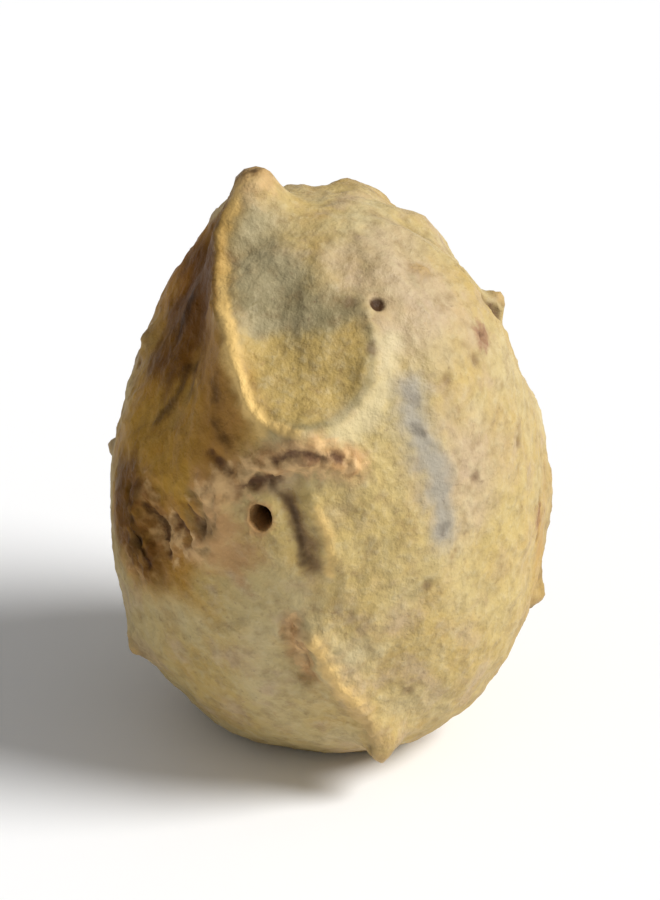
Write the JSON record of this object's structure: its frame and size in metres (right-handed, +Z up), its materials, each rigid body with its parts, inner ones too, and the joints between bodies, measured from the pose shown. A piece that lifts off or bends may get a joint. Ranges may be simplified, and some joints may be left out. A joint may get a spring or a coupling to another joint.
{
  "type": "oak gall",
  "caption": "Dry, woody oak gall: a lumpy, blunt-warted egg with a stalk stub on top, a small round exit hole in front and a flat spot to stand on.",
  "frame": {"origin": "centre of the footprint's box, at the level of the flat spot that the gall stands on", "axes": "+Z up, along the gall's length towards the stalk end; the exit hole faces -Y; +X to the right of the hole"},
  "size_m": [0.0186, 0.0188, 0.0253],
  "materials": {
    "gall": "dry, matt and woody: straw to green-grey skin with brown scabs, fine grey mottle and paler tubercle tips"
  },
  "bodies": {
    "root": {"gall": "gall"}
  },
  "joints": []
}
